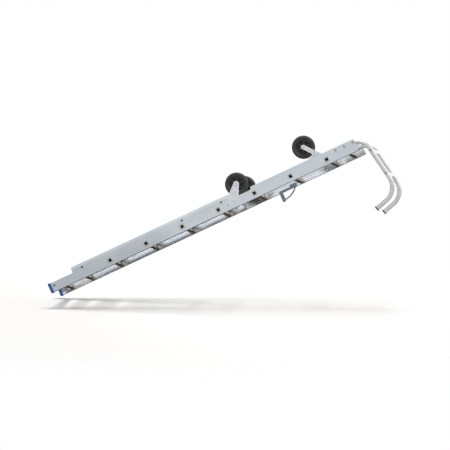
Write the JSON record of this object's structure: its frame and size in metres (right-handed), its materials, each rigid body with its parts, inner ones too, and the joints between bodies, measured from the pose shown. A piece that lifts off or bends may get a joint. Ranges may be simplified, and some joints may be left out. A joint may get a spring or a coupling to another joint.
{
  "type": "extension roof ladder",
  "caption": "Two-section aluminium roof ladder with a tubular ridge hook and wheels; the lower section slides lengthwise in the upper section's channel stiles.",
  "frame": {"origin": "middle of the bottom of the whole ladder: halfway along and across it, at the level of the hook's toes", "axes": "+X along the stiles from the feet to the ridge hook, +Y across to the far stile, +Z square to the ladder, from the hook's side to the wheels' side"},
  "size_m": [2.2478, 0.418, 0.6538],
  "materials": {
    "stile_aluminium": "extruded, satin",
    "rung_aluminium": "mill finish",
    "hook_aluminium": "drawn tube, satin",
    "galvanised_plate": "galvanised",
    "zinc_steel": "zinc plated",
    "blue_plug": "moulded",
    "dark_plug": "moulded",
    "nylon": "moulded",
    "tyre_rubber": "matt rubber",
    "wheel_plastic": "moulded"
  },
  "bodies": {
    "upper_section": {"bracket_rivets": "zinc_steel", "crossbar_bolts": "zinc_steel", "foot_plug_far": "blue_plug", "foot_plug_near": "blue_plug", "foot_tie": "rung_aluminium", "fork_bolts": "zinc_steel", "front_axle": "zinc_steel", "front_fork": "galvanised_plate", "guide_pads": "nylon", "hook_bolts": "zinc_steel", "hook_crossbar_lower": "hook_aluminium", "hook_crossbar_upper": "hook_aluminium", "hook_plug_far": "dark_plug", "hook_plug_near": "dark_plug", "hook_tube_far": "hook_aluminium", "hook_tube_near": "hook_aluminium", "loop_rivets": "zinc_steel", "lower_tie": "rung_aluminium", "mid_axle_far": "zinc_steel", "mid_axle_near": "zinc_steel", "mid_bracket_far": "galvanised_plate", "mid_bracket_near": "galvanised_plate", "pad_rivets": "zinc_steel", "plug_rivets": "zinc_steel", "ridge_tie": "rung_aluminium", "tie_loop": "galvanised_plate", "upper_rung_1": "rung_aluminium", "upper_rung_2": "rung_aluminium", "upper_rung_3": "rung_aluminium", "upper_rung_4": "rung_aluminium", "upper_rung_5": "rung_aluminium", "upper_rung_6": "rung_aluminium", "upper_rung_7": "rung_aluminium", "upper_stile_far": "stile_aluminium", "upper_stile_near": "stile_aluminium"},
    "lower_section": {"lower_foot_plug_far": "dark_plug", "lower_foot_plug_near": "dark_plug", "lower_rung_1": "rung_aluminium", "lower_rung_2": "rung_aluminium", "lower_rung_3": "rung_aluminium", "lower_rung_4": "rung_aluminium", "lower_stile_far": "stile_aluminium", "lower_stile_near": "stile_aluminium", "lower_top_plug_far": "dark_plug", "lower_top_plug_near": "dark_plug"},
    "mid_wheel_near": {"mid_tyre_near": "tyre_rubber", "mid_wheel_centre_near": "wheel_plastic"},
    "mid_wheel_far": {"mid_tyre_far": "tyre_rubber", "mid_wheel_centre_far": "wheel_plastic"},
    "front_wheel": {"front_tyre": "tyre_rubber", "front_wheel_centre": "wheel_plastic"}
  },
  "joints": [
    {"name": "section_slide", "type": "slide", "parent": "upper_section", "child": "lower_section", "axis": [1, 0, 0], "range_m": [-0.7, 0]},
    {"name": "mid_wheel_near_spin", "type": "hinge", "parent": "upper_section", "child": "mid_wheel_near", "pos_m": [0.21809, -0.178, 0.52779], "axis": [0, 1, 0], "continuous": true},
    {"name": "mid_wheel_far_spin", "type": "hinge", "parent": "upper_section", "child": "mid_wheel_far", "pos_m": [0.21809, 0.178, 0.52779], "axis": [0, 1, 0], "continuous": true},
    {"name": "front_wheel_spin", "type": "hinge", "parent": "upper_section", "child": "front_wheel", "pos_m": [0.67909, 0, 0.58079], "axis": [0, 1, 0], "continuous": true}
  ]
}
